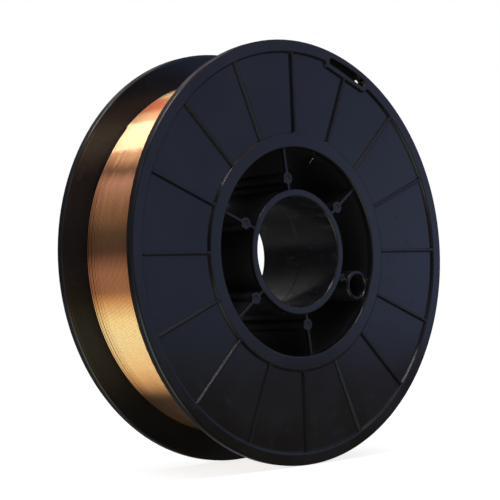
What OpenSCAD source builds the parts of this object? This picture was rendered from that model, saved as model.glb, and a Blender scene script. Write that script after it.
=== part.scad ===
// A 5 kg spool of copper coated welding wire: two moulded plastic halves that
// meet at the middle of the barrel, and the wire wound between their flanges.
// The spool's axis lies along Y, its front flange faces -Y, and it stands on
// its rims, so Z is up. The origin is the middle of the bore.

/* [Spool] */
// Diameter of both flanges
spool_d = 200; // [190:1:210]
// Width over both flanges
spool_w = 55; // [50:0.5:58]

/* [Flange] */
// Thickness of the flange at its rim and at its inner land
rim_t = 4.2; // [3.4:0.1:5]
// Thickness of the sunk web between rim and inner land
web_t = 3; // [1.6:0.1:3.3]
// Radial width of the rim land
rim_land_w = 6; // [4.5:0.5:9]
// Radial width of the land round the hub opening
hub_land_w = 6.8; // [4.5:0.1:9]
// Radius on the flange's edges
rim_edge_r = 0.8; // [0.3:0.1:1.4]
// Radius on the inner edge of the rim land
rim_lip_r = 0.7; // [0.2:0.1:1]
// Radius on both edges of the inner land
land_edge_r = 0.5; // [0.2:0.1:0.8]
// Number of thin ribs on each web
rib_count = 16; // [8:1:24]
// Thickness of a rib
rib_t = 1.2; // [0.8:0.1:2]
// How far a rib's top lies below the lands
rib_drop = 0.1; // [0:0.1:0.8]

/* [Hub] */
// Outer diameter of the barrel that the wire is wound on
barrel_d = 104; // [100:0.5:108]
// Wall of the barrel
barrel_wall = 2.8; // [2:0.1:3.6]
// Diameter of the bore
bore_d = 52; // [50.5:0.1:53]
// Wall of the bore tube
bore_wall = 3.5; // [2.4:0.1:4.5]
// How far the bore tube's ends lie below the flange faces
bore_drop = 1; // [0:0.1:3]
// Lead-in chamfer at both ends of the bore
bore_chamfer = 0.5; // [0.3:0.1:1.5]
// Length of the lap joint between the two halves
lap_len = 3; // [1.5:0.5:6]
// Clearance all round in the lap joint
lap_gap = 0.1; // [0.05:0.05:0.3]

/* [Spokes] */
// Number of spokes between bore tube and barrel
spoke_count = 6; // [3:1:8]
// Thickness of a spoke
spoke_t = 1.3; // [1:0.1:2.4]
// How far the spokes' edges lie below the flange face
spoke_drop = 1.7; // [1:0.1:4]
// Direction of the first spoke, which carries the driving hole
spoke_turn = -22.5; // [-30:0.5:30]
// Diameter of the ejector pad on each spoke
pad_d = 5.6; // [3:0.1:7]
// Distance of the pads from the spool's axis
pad_at = 34.8; // [33.5:0.1:36]
// Diameter of the dimple that the ejector pin leaves in a pad
dimple_d = 2.6; // [1:0.1:2.8]
// Depth of that dimple
dimple_depth = 0.3; // [0.1:0.1:0.6]
// Diameter of the cut gate left on the barrel's inner edge
gate_d = 2.4; // [1:0.1:3]
// Direction of that gate
gate_turn = 154; // [148:1:156]

/* [Driving hole] */
// Diameter of the driving hole
drive_d = 10.6; // [10:0.1:10.8]
// Wall of the boss round the driving hole
drive_wall = 2.2; // [1.6:0.1:3]
// Distance of the driving hole from the spool's axis
drive_at = 44; // [43.5:0.05:44]
// How far the boss's end lies below the flange face
drive_drop = 2.6; // [1.8:0.1:6]
// Radius on the outer edge of the boss
drive_edge_r = 1; // [0.4:0.1:1.2]
// Lead-in chamfer inside the boss
drive_mouth = 0.6; // [0.2:0.1:0.8]
// How far the short spoke beside the boss lies below the boss's end
stub_drop = 0.8; // [0.2:0.1:3]
// Diameter of the small pad on that spoke
stub_pad_d = 3.8; // [2:0.1:4]
// Distance of the small pad from the spool's axis
stub_pad_at = 33.2; // [32:0.1:34]

/* [Tie slot] */
// Direction of the slot's straight inner side, square to that side
slot_turn = 66.5; // [64:0.5:70]
// How far the slot runs down from that direction
slot_down = 11.7; // [11.5:0.1:14]
// How far the slot runs up from that direction
slot_up = 13.7; // [6:0.1:18]
// Height of the slot between its straight inner side and its outer side
slot_h = 4.1; // [3.8:0.1:5]
// Rim wall left outside the slot
slot_rim = 3.1; // [2.5:0.1:3.5]
// Wall of the raised boss along the slot's inner side
slot_wall = 2.2; // [1.4:0.1:3]
// Depth of the slot
slot_depth = 3.2; // [1:0.1:3.4]
// Radius at the slot's four corners
slot_corner_r = 1.2; // [0.5:0.1:1.6]
// Diameter of the hole that the wire's end is passed through
tie_d = 3.6; // [2:0.1:3.8]
// Distance between that hole and the slot's outer side
tie_gap = 0.2; // [0.1:0.1:0.4]
// Direction of that hole
tie_turn = 60.7; // [60.7:0.1:64]

/* [Wire] */
// Diameter over the full winding
wire_od = 174; // [150:1:182]
// Diameter of the wire
wire_d = 0.9; // [0.6:0.1:1.6]
// Clearance between the winding and the spool
wire_gap = 0.1; // [0.05:0.05:0.3]
// Direction of the small hole in the barrel where the wire starts
start_turn = 62; // [50:1:80]
// Depth of that hole below the front flange face
start_depth = 14; // [9:0.5:20]

/* [Hidden] */
$fn = 96;
// Overlap that makes fused shapes one solid
eps = 0.2;
plastic = [0.12, 0.12, 0.14];
copper = [0.72, 0.45, 0.27];

spool_r = spool_d / 2;
half_w = spool_w / 2;
barrel_r = barrel_d / 2;
hub_r = barrel_r - barrel_wall;
bore_r = bore_d / 2;
tube_r = bore_r + bore_wall;
land_r = hub_r + hub_land_w;
rim_in_r = spool_r - rim_land_w;
web_top = half_w - rim_t + web_t;
inner_face = half_w - rim_t;
lap_r = hub_r + barrel_wall / 2;
slot_out = spool_r - slot_rim;
slot_in = slot_out - slot_h;
drive_top = half_w - drive_drop;
start_d = 2.5 * wire_d;
coil_half = inner_face - wire_gap;
coil_r = wire_od / 2;
turn_groove = 0.4 * wire_d;

// Points of a quarter round of radius r about c, from angle a0 to angle a1
function arc(c, r, a0, a1, steps = 5) =
    [for (i = [0 : steps]) c + r * [cos(a0 + (a1 - a0) * i / steps), sin(a0 + (a1 - a0) * i / steps)]];

// Point at distance r and direction a in the plane of the flange
function polar(r, a) = [r * cos(a), r * sin(a)];

// Section of flange and barrel, as radius and height above the spool's middle
module flange_section() {
    e = rim_edge_r;
    polygon(concat(
        arc([hub_r + land_edge_r, half_w - land_edge_r], land_edge_r, 180, 90, 4),
        arc([land_r - land_edge_r, half_w - land_edge_r], land_edge_r, 90, 0, 4),
        [[land_r, web_top], [rim_in_r, web_top]],
        arc([rim_in_r + rim_lip_r, half_w - rim_lip_r], rim_lip_r, 180, 90, 4),
        arc([spool_r - e, half_w - e], e, 90, 0),
        arc([spool_r - e, inner_face + e], e, 0, -90),
        [[barrel_r, inner_face], [barrel_r, 0], [hub_r, 0]]
    ));
}

// Section of the bore tube, with its lead-in chamfer
module tube_section() {
    top = half_w - bore_drop;
    polygon([
        [bore_r, 0],
        [bore_r, top - bore_chamfer],
        [bore_r + bore_chamfer, top],
        [tube_r - bore_chamfer / 4, top],
        [tube_r, top - bore_chamfer / 4],
        [tube_r, 0]
    ]);
}

// Thin ribs that stiffen the web, from the inner land to the rim land
module ribs() {
    rib_top = half_w - rib_drop;
    for (i = [0 : rib_count - 1])
        rotate([0, 0, i * 360 / rib_count])
        translate([land_r - eps, -rib_t / 2, web_top - eps])
        cube([rim_in_r - land_r + 2 * eps, rib_t, rib_top - web_top + eps]);
}

// One spoke with its ejector pad, and the pin's dimple in the pad
module spoke(top, at, d) {
    difference() {
        union() {
            translate([tube_r - eps, -spoke_t / 2, 0])
            cube([hub_r - tube_r + 2 * eps, spoke_t, top]);
            translate([at, 0, 0])
            cylinder(h = top, d = d);
        }
        translate([at, 0, top - dimple_depth])
        cylinder(h = dimple_depth + 1, d = d * dimple_d / pad_d);
    }
}

// All spokes; the first one is lower, and only a stub of it shows beside the driving boss
module spokes() {
    for (i = [0 : spoke_count - 1])
        rotate([0, 0, spoke_turn + i * 360 / spoke_count])
        if (i == 0)
            spoke(drive_top - stub_drop, stub_pad_at, stub_pad_d);
        else
            spoke(half_w - spoke_drop, pad_at, pad_d);
}

// Boss round the driving hole, which runs into the barrel's wall
module drive_boss() {
    boss_r = drive_d / 2 + drive_wall;
    e = drive_edge_r;
    edge = arc([boss_r - e, drive_top - e], e, 0, 90, 4);
    intersection() {
        rotate([0, 0, spoke_turn])
        translate([drive_at, 0, 0])
        rotate_extrude()
        polygon(concat([[0, drive_top], [0, 0], [boss_r, 0]], edge));
        cylinder(h = half_w, r = hub_r + barrel_wall / 3);
    }
}

// Cut gate of the moulding, a nub on the barrel's inner edge
module gate() {
    rotate([0, 0, gate_turn])
    translate([hub_r - gate_d / 4, 0, half_w - gate_d - rim_edge_r])
    cylinder(h = gate_d, d = gate_d);
}

// Driving hole with its lead-in chamfer
module drive_hole() {
    mouth_r = drive_d / 2 + drive_mouth;
    rotate([0, 0, spoke_turn])
    translate([drive_at, 0, 0]) {
        translate([0, 0, -lap_len - 1])
        cylinder(h = half_w + lap_len + 2, d = drive_d);
        translate([0, 0, drive_top - drive_mouth])
        cylinder(h = drive_mouth + eps, r1 = mouth_r - drive_mouth, r2 = mouth_r + eps);
    }
}

// Corner of a slot outline with radius c: its centre lies at distance d and at t along the
// straight side, and the arc runs from angle a0 to a1, counted from the direction of that side
function slot_corner(d, t, c, a0, a1) =
    [for (p = arc([t, -d], c, a0, a1, 4)) p[0] * polar(1, slot_turn + 90) - p[1] * polar(1, slot_turn)];

// Outline between an arc of radius r about the axis and a straight side at distance d from it,
// which runs from t0 to t1; its inner corners are rounded by c and its outer ones cut by k
function slot_outline(d, r, t0, t1, c, k, steps = 8) =
    let (
        a0 = slot_turn + atan(t0 / d),
        a1 = slot_turn + atan(t1 / d),
        trim = asin(k / r)
    ) concat(
        [for (i = [0 : steps]) polar(r, a0 + trim + (a1 - a0 - 2 * trim) * i / steps)],
        k > 0 ? [polar(r - k, a1)] : [],
        slot_corner(d + c, t1 - c, c, 0, 90),
        slot_corner(d + c, t0 + c, c, 90, 180),
        k > 0 ? [polar(r - k, a0)] : []
    );

// Raised boss round the tie slot, level with the lands and fused to the rim
module slot_boss() {
    translate([0, 0, inner_face + eps])
    linear_extrude(height = half_w - inner_face - eps)
    polygon(slot_outline(
        slot_in - slot_wall, rim_in_r + rim_edge_r, -slot_down - slot_wall, slot_up + slot_wall, slot_wall, 0
    ));
}

// Blind slot for the wire's end, with a through hole near one end
module tie_slot() {
    translate([0, 0, half_w - slot_depth])
    linear_extrude(height = slot_depth + 1)
    polygon(slot_outline(slot_in, slot_out, -slot_down, slot_up, slot_corner_r, 0.6 * slot_corner_r));
    rotate([0, 0, tie_turn])
    translate([slot_out - tie_gap - tie_d / 2, 0, inner_face - 1])
    cylinder(h = rim_t - slot_depth + 1 + eps, d = tie_d);
}

// One moulded half, with its outer face up and the spool's middle at height 0
module moulded_half(spigot) {
    difference() {
        union() {
            rotate_extrude()
            flange_section();
            rotate_extrude()
            tube_section();
            ribs();
            spokes();
            drive_boss();
            slot_boss();
            gate();
            if (spigot)
                translate([0, 0, -lap_len])
                difference() {
                    cylinder(h = lap_len + eps, r = lap_r - lap_gap);
                    translate([0, 0, -1])
                    cylinder(h = lap_len + 2, r = hub_r);
                }
        }
        drive_hole();
        tie_slot();
        if (!spigot)
            translate([0, 0, -1])
            difference() {
                cylinder(h = lap_len + lap_gap + 1, r = lap_r);
                translate([0, 0, -1])
                cylinder(h = lap_len + 4, r = hub_r - lap_gap);
            }
        if (spigot)
            translate([0, 0, half_w - start_depth])
            rotate([0, 0, start_turn])
            translate([hub_r - 1, 0, 0])
            rotate([0, 90, 0])
            cylinder(h = barrel_wall + 2, d = start_d);
    }
}

module front_half() {
    color(plastic)
    rotate([90, 0, 0])
    moulded_half(true);
}

// The mirror image of the front half, so that spokes, holes and slots line up
module rear_half() {
    color(plastic)
    rotate([90, 0, 0])
    mirror([0, 0, 1])
    moulded_half(false);
}

// Zigzag of n turns of wire from point p to just before point q: the crests lie
// on that line, and the grooves between them are set back along the direction back
function turns_between(p, q, n, back) = [
    for (i = [0 : 2 * n - 1])
        p + (q - p) * i / (2 * n) + (i % 2 == 0 ? turn_groove * back : [0, 0])
];

// The wound wire, as one turned ring between the flanges. Its turns show on
// its outside, and every second layer shows on both ends.
module wire_coil() {
    base_r = barrel_r + wire_gap;
    edge_r = coil_r - turn_groove;
    side = coil_half - turn_groove;
    turns = floor(2 * side / wire_d);
    layers = floor((edge_r - base_r) / (2 * wire_d));
    color(copper)
    rotate([90, 0, 0])
    rotate_extrude()
    polygon(concat(
        turns_between([coil_r, -side], [coil_r, side], turns, [-1, 0]),
        turns_between([edge_r, coil_half], [base_r, coil_half], layers, [0, -1]),
        [[base_r, side]],
        turns_between([base_r, -coil_half], [edge_r, -coil_half], layers, [0, 1])
    ));
}

front_half();
rear_half();
wire_coil();
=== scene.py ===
import math

import bmesh
import bpy
from mathutils import Matrix, Vector, noise


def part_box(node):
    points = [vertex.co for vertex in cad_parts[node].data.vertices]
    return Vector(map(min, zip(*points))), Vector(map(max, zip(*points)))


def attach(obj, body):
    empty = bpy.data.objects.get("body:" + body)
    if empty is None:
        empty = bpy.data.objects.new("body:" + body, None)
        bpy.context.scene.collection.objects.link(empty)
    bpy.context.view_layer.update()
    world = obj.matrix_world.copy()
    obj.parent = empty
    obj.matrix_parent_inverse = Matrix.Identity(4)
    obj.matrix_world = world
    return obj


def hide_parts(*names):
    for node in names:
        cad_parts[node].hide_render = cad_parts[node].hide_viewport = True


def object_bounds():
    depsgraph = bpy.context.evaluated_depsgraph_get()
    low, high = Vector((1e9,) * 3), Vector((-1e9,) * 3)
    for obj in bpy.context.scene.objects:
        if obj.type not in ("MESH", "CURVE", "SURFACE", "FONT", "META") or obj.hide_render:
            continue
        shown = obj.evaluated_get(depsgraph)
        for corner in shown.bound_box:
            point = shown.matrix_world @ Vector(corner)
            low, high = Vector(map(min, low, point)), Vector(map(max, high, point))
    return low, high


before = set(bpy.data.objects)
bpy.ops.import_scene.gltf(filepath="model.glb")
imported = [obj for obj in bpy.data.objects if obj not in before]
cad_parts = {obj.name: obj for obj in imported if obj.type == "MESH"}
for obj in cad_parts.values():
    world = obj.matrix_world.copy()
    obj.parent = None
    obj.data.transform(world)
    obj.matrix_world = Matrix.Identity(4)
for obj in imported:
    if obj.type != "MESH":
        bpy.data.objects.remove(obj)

cad_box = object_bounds()

# Camera: a long lens a little lower than the spool's axis and well to the left of it, so that the
# ribbed face and the wound wire both show. It stands where the photograph was taken from.
view_azimuth = math.radians(-42.62)
view_elevation = math.radians(-1.59)
view_roll = math.radians(-2.32)
view_distance = 0.7432
back = Vector((
    math.sin(view_azimuth) * math.cos(view_elevation),
    -math.cos(view_azimuth) * math.cos(view_elevation),
    math.sin(view_elevation),
))
level = (-back).cross(Vector((0, 0, 1))).normalized()
upright = level.cross(-back)
camera_data = bpy.data.cameras.new("camera")
camera_data.sensor_width = 36
camera_data.lens = 110.81
camera_data.shift_x = -0.022
camera_data.shift_y = 0.0089
camera = bpy.data.objects.new("camera", camera_data)
camera_x = level * math.cos(view_roll) + upright * math.sin(view_roll)
camera_y = upright * math.cos(view_roll) - level * math.sin(view_roll)
turned = Matrix((camera_x, camera_y, back)).transposed().to_4x4()
camera.matrix_world = Matrix.Translation(back * view_distance) @ turned
bpy.context.scene.collection.objects.link(camera)
bpy.context.scene.camera = camera
bpy.context.scene.view_settings.view_transform = "Standard"


# Table: a sheet of white paper, which the spool stands on. The camera sees it white but for the
# spool's soft shadow, and the plastic and the wire don't mirror it.
class Tone:
    """An output socket of a shader node. Sums and products of tones add their Math nodes."""

    def __init__(self, tree, socket=None):
        self.tree = tree
        self.socket = socket

    def node(self, kind, settings, inputs, output=0):
        """Adds a node of this kind, with its settings first and then the values or tones it takes."""
        made = self.tree.nodes.new(kind)
        for name, value in settings.items():
            if name == "stops":
                ramp = made.color_ramp.elements
                while len(ramp) < len(value):
                    ramp.new(0.5)
                for stop, (place, colour) in zip(ramp, value):
                    stop.position = place
                    stop.color = colour
            else:
                setattr(made, name, value)
        for key, value in inputs.items():
            if isinstance(value, Tone):
                self.tree.links.new(value.socket, made.inputs[key])
            else:
                made.inputs[key].default_value = value
        return Tone(self.tree, made.outputs[output] if len(made.outputs) else None)

    def maths(self, operation, *values):
        return self.node("ShaderNodeMath", {"operation": operation}, dict(enumerate(values)))

    def between(self, low, high):
        """0 up to low, 1 from high on, and a soft slope in between."""
        soft = {"interpolation_type": "SMOOTHSTEP"}
        return self.node("ShaderNodeMapRange", soft, {"Value": self, "From Min": low, "From Max": high})

    def mix(self, factor, other):
        """The colour self where factor is 0, and the colour other where it is 1."""
        return self.node("ShaderNodeMix", {"data_type": "RGBA"}, {0: factor, 6: self, 7: other}, 2)

    def __add__(self, other):
        return self.maths("ADD", self, other)

    def __sub__(self, other):
        return self.maths("SUBTRACT", self, other)

    def __rsub__(self, other):
        return self.maths("SUBTRACT", other, self)

    def __mul__(self, other):
        return self.maths("MULTIPLY", self, other)

    def __truediv__(self, other):
        return self.maths("DIVIDE", self, other)

    def __rtruediv__(self, other):
        return self.maths("DIVIDE", other, self)

    __radd__ = __add__
    __rmul__ = __mul__


def new_finish(name):
    """A material with no nodes yet, and a tone to build them from."""
    material = bpy.data.materials.new(name)
    material.use_nodes = True
    material.node_tree.nodes.clear()
    return material, Tone(material.node_tree)


paper_side = 3.0
paper_thickness = 0.0004
paper_top = cad_box[0].z - 0.0001
bm = bmesh.new()
bmesh.ops.create_cube(bm, size=1)
bmesh.ops.scale(bm, verts=bm.verts, vec=(paper_side, paper_side, paper_thickness))
bmesh.ops.translate(bm, verts=bm.verts, vec=(0, 0, paper_top - paper_thickness / 2))
paper_mesh = bpy.data.meshes.new("floor")
bm.to_mesh(paper_mesh)
bm.free()
floor = bpy.data.objects.new("floor", paper_mesh)
bpy.context.scene.collection.objects.link(floor)
paper, n = new_finish("white_paper")
paper.cycles.emission_sampling = "NONE"
seen = n.node("ShaderNodeLightPath", {}, {}, "Is Camera Ray")
through = n.node("ShaderNodeLightPath", {}, {}, "Is Transmission Ray")
matt = n.node("ShaderNodeBsdfDiffuse", {}, {"Color": (0.5, 0.5, 0.5, 1)})
glow = n.node("ShaderNodeEmission", {}, {"Color": (1, 1, 1, 1), "Strength": 0.8 * seen + through})
both = n.node("ShaderNodeAddShader", {}, {0: matt, 1: glow})
n.node("ShaderNodeOutputMaterial", {}, {"Surface": both})
paper_mesh.materials.append(paper)
floor.visible_glossy = False

# Studio: white all round for the camera and plain grey for matt surfaces. Mirrors see a bright left
# side, whose bands the wire shows, a dim bluish wall over a dark floor on the right, which the
# ribbed face shows, and a dim back with a pale door, which the bore shows.
world = bpy.data.worlds.new("studio")
bpy.context.scene.world = world
world.use_nodes = True
world.cycles.sampling_method = "NONE"
world.node_tree.nodes.clear()
n = Tone(world.node_tree)
seen = n.node("ShaderNodeLightPath", {}, {}, "Is Camera Ray")
mirrored = n.node("ShaderNodeLightPath", {}, {}, "Is Glossy Ray")
through = n.node("ShaderNodeLightPath", {}, {}, "Is Transmission Ray")
way = n.node("ShaderNodeTexCoord", {}, {}, "Generated")
# Where a ray goes: away from the camera, across to the right, inward along the spool's axis, and up.
away = n.node("ShaderNodeVectorMath", {"operation": "DOT_PRODUCT"}, {0: way, 1: (0.69, 0.72, 0)}, 1)
across = n.node("ShaderNodeSeparateXYZ", {}, {0: way}, 0)
inward = n.node("ShaderNodeSeparateXYZ", {}, {0: way}, 1)
rise = n.node("ShaderNodeSeparateXYZ", {}, {0: way}, 2)
# The bands of the left side draw together towards its two ends.
bulge = n.maths("POWER", 1 - inward * inward, 0.25)
left_side = n.node("ShaderNodeValToRGB", {"stops": (
    (0.000, (0.08, 0.07, 0.06, 1)),
    (0.010, (0.13, 0.11, 0.10, 1)),
    (0.040, (1.05, 0.85, 0.58, 1)),
    (0.080, (1.40, 1.45, 1.05, 1)),
    (0.170, (1.50, 1.90, 1.60, 1)),
    (0.240, (1.55, 1.95, 1.50, 1)),
    (0.320, (1.00, 0.80, 0.48, 1)),
    (0.360, (0.46, 0.32, 0.25, 1)),
    (0.450, (0.48, 0.34, 0.30, 1)),
    (0.540, (0.10, 0.08, 0.08, 1)),
    (0.620, (0.11, 0.10, 0.09, 1)),
    (0.720, (0.36, 0.28, 0.23, 1)),
    (0.810, (0.78, 0.60, 0.64, 1)),
    (0.860, (0.10, 0.08, 0.08, 1)),
    (0.900, (1.15, 0.96, 0.83, 1)),
    (1.000, (1.80, 1.84, 1.58, 1)),
)}, {0: 0.5 + 0.5 * rise / bulge})
# The left side is lit as far as the middle, further overhead and less far near the floor, and it
# fades towards the camera and behind the spool.
reach = across + 0.25 * rise.between(0.0, -0.6) - 0.24 * rise.between(0.5, 0.9)
lit = (1 - reach.between(0.0, 0.15)) * inward.between(-0.95, -0.75) * (1 - inward.between(0.5, 0.62))
lit = lit * (0.7 + 0.3 * inward.between(-0.3, 0.2))
overhead = rise.between(0.6, 0.8) * (1 - n.maths("ABSOLUTE", across - 0.05).between(0.07, 0.14))
left_side = left_side.mix(overhead, (1.15, 0.48, 0.42, 1))
back_side = n.node("ShaderNodeValToRGB", {"stops": (
    (0.15, (0.08, 0.08, 0.08, 1)),
    (0.35, (0.19, 0.19, 0.20, 1)),
    (0.47, (0.03, 0.03, 0.04, 1)),
    (0.66, (0.05, 0.05, 0.05, 1)),
    (0.75, (0.12, 0.12, 0.13, 1)),
    (0.85, (0.32, 0.32, 0.33, 1)),
)}, {0: 0.5 + 0.5 * rise})
pale_door = across.between(0.1, 0.3) * rise.between(0.3, 0.5) * (1 - away.between(0.7, 0.8))
back_side = back_side.mix(pale_door, (0.55, 0.55, 0.60, 1))
# Before the spool, on the right, a bluish wall stands over a dark floor. The rest there is nearly black.
wall = n.node("ShaderNodeMix", {"data_type": "RGBA"}, {
    0: across.between(0.65, 0.76) * 0.9, 6: (0.28, 0.35, 0.58, 1), 7: (0.42, 0.52, 0.90, 1)}, 2)
wall = wall.mix(rise.between(0.03, 0.16) * 0.7, (0.24, 0.28, 0.48, 1))
wall = wall.mix(across.between(0.80, 0.90), (0.08, 0.09, 0.12, 1))
dark_floor = n.node("ShaderNodeMix", {"data_type": "RGBA"}, {
    0: across.between(0.65, 0.76), 6: (0.10, 0.07, 0.03, 1), 7: (0.10, 0.07, 0.04, 1)}, 2)
right_side = dark_floor.mix(rise.between(-0.055, -0.025), wall)
dim = n.node("ShaderNodeMix", {"data_type": "RGBA"}, {
    0: across.between(0.0, 0.5) * (1 - inward.between(-0.3, 0.0)),
    6: (0.05, 0.05, 0.05, 1),
    7: right_side,
}, 2)
room = dim.mix(lit, left_side).mix(inward.between(0.5, 0.65), back_side)
# Straight behind the spool as the camera sees it, the room is grey.
mirror = room.mix(away.between(0.88, 0.97), (0.25, 0.25, 0.26, 1))
plain = (0.42, 0.43, 0.45, 1)
shown = n.node("ShaderNodeMix", {"data_type": "RGBA"}, {0: mirrored, 6: plain, 7: mirror}, 2)
shown = shown.mix(seen + through, (1, 1, 1, 1))
sky = n.node("ShaderNodeBackground", {}, {"Color": shown, "Strength": 1.0})
n.node("ShaderNodeOutputWorld", {}, {"Surface": sky})


def softbox(name, centre, aim, width, length, radiance, colour, seen_in_gloss=True):
    """A flat lamp of that width and length, with its length along Y, facing the point aim."""
    data = bpy.data.lights.new(name, "AREA")
    data.shape = "RECTANGLE"
    data.size = width
    data.size_y = length
    data.energy = radiance * math.pi * width * length
    data.color = colour
    lamp = bpy.data.objects.new(name, data)
    facing = (Vector(centre) - Vector(aim)).normalized()
    across = Vector((0, 1, 0)).cross(facing).normalized()
    along = facing.cross(across)
    lamp.matrix_world = Matrix.Translation(centre) @ Matrix((across, along, facing)).transposed().to_4x4()
    lamp.visible_camera = False
    lamp.visible_glossy = seen_in_gloss
    bpy.context.scene.collection.objects.link(lamp)


softbox(
    "overhead_strip", (-0.423, -0.15, 0.989), (-0.065, -0.15, 0.055),
    width=0.35, length=0.3, radiance=8.2, colour=(1.0, 0.92, 1.0))
softbox(
    "ceiling", (0.42, -0.3, 1.0), (0.42, -0.3, 0),
    width=0.75, length=1.2, radiance=1.2, colour=(1, 1, 1), seen_in_gloss=False)

# The spool's two halves: a black moulding and its mirror image, of satin polystyrene, pushed together
# at the middle of the barrel before it is wound. The bore is scuffed, and the sides that face the
# winding or the inside of the hub are duller than the outer faces.
bore_r = 0.026
barrel_r = 0.052
flange_r = cad_box[1].x
flange_thickness = 0.0042
web_face = cad_box[1].y - flange_thickness
black_plastic, n = new_finish("black_plastic")
place = n.node("ShaderNodeTexCoord", {}, {}, "Object")
cloud = n.node("ShaderNodeTexNoise", {}, {"Vector": place, "Scale": 22.0, "Detail": 3.0})
grain = n.node("ShaderNodeTexNoise", {}, {"Vector": place, "Scale": 2600.0, "Detail": 2.0})
rubbed = n.node("ShaderNodeTexNoise", {}, {
    "Vector": place, "Scale": 160.0, "Detail": 5.0, "Roughness": 0.65})
edge = n.node("ShaderNodeBevel", {"samples": 6}, {"Radius": 0.0009})
bumped = n.node("ShaderNodeBump", {}, {
    "Strength": 0.25, "Distance": 0.00003, "Height": grain, "Normal": edge})
dull = rubbed.between(0.55, 0.75)
colour = n.node("ShaderNodeMix", {"data_type": "RGBA"}, {
    0: cloud.between(0.3, 0.7) * 0.6 + dull * 0.25,
    6: (0.0085, 0.0085, 0.0100, 1),
    7: (0.0190, 0.0190, 0.0215, 1),
}, 2)
depth = n.maths("ABSOLUTE", n.node("ShaderNodeSeparateXYZ", {}, {0: place}, 1))
from_axis = n.node("ShaderNodeVectorMath", {"operation": "LENGTH"}, {
    0: n.node("ShaderNodeVectorMath", {"operation": "MULTIPLY"}, {0: place, 1: (1, 0, 1)})}, 1)
inside = 1 - depth.between(web_face + 0.0002, web_face + 0.0012)
bore = 1 - from_axis.between(bore_r + 0.0004, bore_r + 0.0008)
past_barrel = from_axis.between(barrel_r - 0.0005, barrel_r + 0.0005)
between_flanges = inside * past_barrel * (1 - from_axis.between(flange_r - 0.0020, flange_r - 0.0010))
along_bore = n.node("ShaderNodeVectorMath", {"operation": "MULTIPLY"}, {0: place, 1: (1, 0.15, 1)})
scuffs = n.node("ShaderNodeTexNoise", {}, {
    "Vector": along_bore, "Scale": 300.0, "Detail": 6.0, "Roughness": 0.7})
patches = n.node("ShaderNodeTexNoise", {}, {"Vector": place, "Scale": 55.0, "Detail": 3.0})
worn = bore * scuffs.between(0.45, 0.7) * patches.between(0.42, 0.6)
shiny = 0.11 + 0.07 * cloud.between(0.35, 0.7) + 0.12 * dull
plastic = n.node("ShaderNodeBsdfPrincipled", {}, {
    "Base Color": colour.mix(worn, (0.05, 0.05, 0.05, 1)),
    "Roughness": shiny + (0.4 - 0.35 * bore) * inside * (1 - past_barrel) + 0.3 * worn,
    "Specular IOR Level": 0.5,
    "Normal": bumped,
})
winding_side = n.node("ShaderNodeBsdfPrincipled", {}, {
    "Base Color": colour,
    "Roughness": shiny + 0.12,
    "Specular IOR Level": 0.42,
    "Specular Tint": (0.60, 0.82, 1.0, 1),
    "Normal": bumped,
})
skin = n.node("ShaderNodeMixShader", {}, {0: between_flanges, 1: plastic, 2: winding_side})
n.node("ShaderNodeOutputMaterial", {}, {"Surface": skin})
for half in ("front_half", "rear_half"):
    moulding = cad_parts[half]
    moulding.data.materials.clear()
    moulding.data.materials.append(black_plastic)

# Top layer of wire: copper coated steel, 0.9 mm thick, laid turn beside turn. Each turn runs straight
# round and steps over by one wire on the left, where all the turns below it step over too. Some turns
# stand apart from the one before, and the last ones before the rear flange lie a little deeper.
coil_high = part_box("wire_coil")[1]
coil_half = coil_high.y
wire_r = 0.00045
wire_sides = 8
turn_count = 50
turn_steps = 220
extra_gap = {
    2: 0.0003, 20: 0.00006, 31: 0.0001, 39: 0.0003, 43: 0.0002, 45: 0.0002, 47: 0.0004, 49: 0.0003,
}
pitch = (2 * (coil_half - wire_r) - sum(extra_gap.values())) / (turn_count - 1)
laid_at = [wire_r - coil_half]
for turn in range(1, turn_count):
    laid_at.append(laid_at[-1] + pitch + extra_gap.get(turn, 0))
start_angle = math.radians(-62)
end_angle = math.radians(136)
wire_turns = turn_count - 1 + (end_angle - start_angle) / (2 * math.pi)
step_at = math.radians(156)
step_span = math.radians(22)
step_wander = 0.10
step_rise = 0.00012
unevenness = 0.00003
lay_r = coil_high.x - wire_r - step_rise - 2 * unevenness
rear_drop = 0.00022
rear_drop_at = 0.0122
rear_drop_half = 0.0009


def smooth(value, low, high):
    """0 up to low, 1 from high on, and a soft slope in between."""
    t = min(max((value - low) / (high - low), 0), 1)
    return t * t * (3 - 2 * t)


def wound(turns):
    """Angle, place along the axis and radius of the wire's centre after so many turns."""
    done = int(turns)
    here = start_angle + 2 * math.pi * (turns - done)
    from_step = here - step_at - step_wander * noise.noise(Vector((0.37 * done, 2.3, 0.7)))
    share = smooth(from_step, -step_span / 2, step_span / 2)
    along = laid_at[done] + (laid_at[min(done + 1, turn_count - 1)] - laid_at[done]) * share
    climb = 4 * share * (1 - share)
    ripple = noise.noise(Vector((1.5 * math.cos(here), 1.5 * math.sin(here), 7.3 * done)))
    radius = lay_r + step_rise * climb + unevenness * ripple
    radius -= rear_drop * smooth(along, rear_drop_at - rear_drop_half, rear_drop_at + rear_drop_half)
    return here, along, radius


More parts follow.
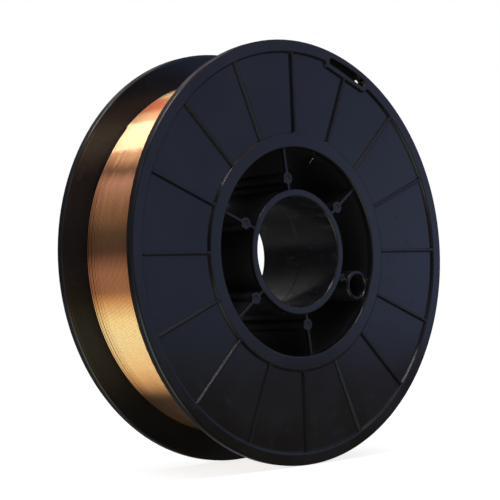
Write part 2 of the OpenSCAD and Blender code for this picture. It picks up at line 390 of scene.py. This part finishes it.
seam_gap = wire_r / 5000
bm = bmesh.new()
bmesh.ops.create_grid(bm, x_segments=turn_count * turn_steps, y_segments=wire_sides, size=0.5)
run = bm.verts.layers.float.new("turns")
for v in bm.verts:
    v[run] = wire_turns * (v.co.x + 0.5)
    around = 2 * math.pi * (v.co.y + 0.5)
    here, along, radius = wound(v[run])
    out = radius + wire_r * math.sin(around)
    v.co = (out * math.cos(here), along + wire_r * math.cos(around), out * math.sin(here))
bmesh.ops.remove_doubles(bm, verts=bm.verts, dist=seam_gap)
bmesh.ops.holes_fill(bm, edges=[e for e in bm.edges if e.is_boundary], sides=wire_sides)
bmesh.ops.recalc_face_normals(bm, faces=bm.faces)
for f in bm.faces:
    f.smooth = True
wire_mesh = bpy.data.meshes.new("top_layer_of_wire")
bm.to_mesh(wire_mesh)
bm.free()
top_layer = bpy.data.objects.new("top_layer_of_wire", wire_mesh)
bpy.context.scene.collection.objects.link(top_layer)
coppered_wire, n = new_finish("coppered_wire")
place = n.node("ShaderNodeTexCoord", {}, {}, "Object")
turns = n.node("ShaderNodeAttribute", {"attribute_name": "turns"}, {}, "Fac")
bloom = n.node("ShaderNodeTexNoise", {}, {"Vector": place, "Scale": 45.0, "Detail": 4.0})
drawn = n.node("ShaderNodeTexNoise", {"noise_dimensions": "1D"}, {
    "W": turns * 40, "Scale": 1.0, "Detail": 3.0})
colour = n.node("ShaderNodeMix", {"data_type": "RGBA"}, {
    0: bloom.between(0.2, 0.8) * 0.7 + drawn.between(0.3, 0.7) * 0.3,
    6: (0.93, 0.54, 0.29, 1),
    7: (0.93, 0.57, 0.32, 1),
}, 2)
metal = n.node("ShaderNodeBsdfPrincipled", {}, {
    "Base Color": colour,
    "Metallic": 1.0,
    "Roughness": 0.07 + 0.05 * bloom.between(0.2, 0.8),
})
n.node("ShaderNodeOutputMaterial", {}, {"Surface": metal})
wire_mesh.materials.append(coppered_wire)
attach(top_layer, "root")
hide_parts("wire_coil")

# Lower layers of wire: the body of the coil under the top layer, from the barrel out. Its outermost
# turns lie in the grooves of the layer above and show where two turns of that one stand apart.
core_r = barrel_r + 0.0001
core_crest = lay_r - 0.78 * wire_r
core_steps = 180
ridge_steps = 6
wide_seam_gap = wire_r / 100
bm = bmesh.new()
bmesh.ops.create_grid(bm, x_segments=core_steps, y_segments=turn_count * ridge_steps, size=0.5)
for v in bm.verts:
    here = 2 * math.pi * (v.co.x + 0.5)
    from_crest = 2 * ((turn_count * (v.co.y + 0.5)) % 1) - 1
    out = core_crest - wire_r + wire_r * math.sqrt(1 - from_crest * from_crest)
    v.co = (out * math.cos(here), 2 * coil_half * v.co.y, out * math.sin(here))
bmesh.ops.remove_doubles(bm, verts=bm.verts, dist=wide_seam_gap)
ends = bmesh.ops.extrude_edge_only(bm, edges=[e for e in bm.edges if e.is_boundary])["geom"]
for v in ends:
    if isinstance(v, bmesh.types.BMVert):
        inward_by = core_r / math.hypot(v.co.x, v.co.z)
        v.co.x *= inward_by
        v.co.z *= inward_by
bmesh.ops.bridge_loops(bm, edges=[e for e in bm.edges if e.is_boundary])
bmesh.ops.recalc_face_normals(bm, faces=bm.faces)
core_mesh = bpy.data.meshes.new("lower_layers_of_wire")
bm.to_mesh(core_mesh)
bm.free()
core = bpy.data.objects.new("lower_layers_of_wire", core_mesh)
bpy.context.scene.collection.objects.link(core)
core_mesh.materials.append(coppered_wire)
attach(core, "root")

# Start of the wire: its first end comes through a small hole in the barrel and is bent over there
# against the barrel's inside, which holds the winding. Each point of its bend is a distance from
# the axis in millimetres, an angle in degrees and a place along the axis in millimetres.
hook_path = (
    (50.5, 62.0, -13.5),
    (49.4, 61.8, -13.6),
    (48.5, 61.3, -14.1),
    (47.9, 61.1, -14.8),
    (47.6, 61.9, -15.2),
    (47.6, 63.4, -15.6),
    (47.6, 64.8, -16.0),
    (47.7, 66.0, -16.9),
    (47.8, 67.2, -18.4),
    (48.0, 69.9, -21.7),
)
hook_steps = 6
hook_sides = 10
hook_flank = Vector((0.83, 0.1, -0.55))
legs = len(hook_path) - 1
bm = bmesh.new()
bmesh.ops.create_grid(bm, x_segments=hook_steps * legs, y_segments=hook_sides, size=0.5)
bend = []
for out, angle, along in hook_path:
    angle = math.radians(angle)
    bend.append(Vector((out * math.cos(angle), along, out * math.sin(angle))) / 1000)


def bent(t):
    """Point of the hook's smooth middle line, with t from 0 at the barrel to 1 at its tip."""
    leg = min(int(t * legs), legs - 1)
    part = t * legs - leg
    before, start, stop, after = (bend[min(max(leg + i, 0), legs)] for i in (-1, 0, 1, 2))
    return 0.5 * (
        2 * start + (stop - before) * part
        + (2 * before - 5 * start + 4 * stop - after) * part * part
        + (3 * start - before - 3 * stop + after) * part ** 3)


for v in bm.verts:
    t = v.co.x + 0.5
    ahead = (bent(min(t + 0.01, 1)) - bent(max(t - 0.01, 0))).normalized()
    side = ahead.cross(hook_flank).normalized()
    rolled = Matrix.Rotation(2 * math.pi * (v.co.y + 0.5), 3, ahead)
    v.co = bent(t) + rolled @ side * wire_r
bmesh.ops.remove_doubles(bm, verts=bm.verts, dist=wide_seam_gap)
bmesh.ops.holes_fill(bm, edges=[e for e in bm.edges if e.is_boundary], sides=hook_sides)
bmesh.ops.recalc_face_normals(bm, faces=bm.faces)
for f in bm.faces:
    f.smooth = True
hook_mesh = bpy.data.meshes.new("start_of_wire")
bm.to_mesh(hook_mesh)
bm.free()
hook = bpy.data.objects.new("start_of_wire", hook_mesh)
bpy.context.scene.collection.objects.link(hook)
hook_mesh.materials.append(coppered_wire)
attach(hook, "root")
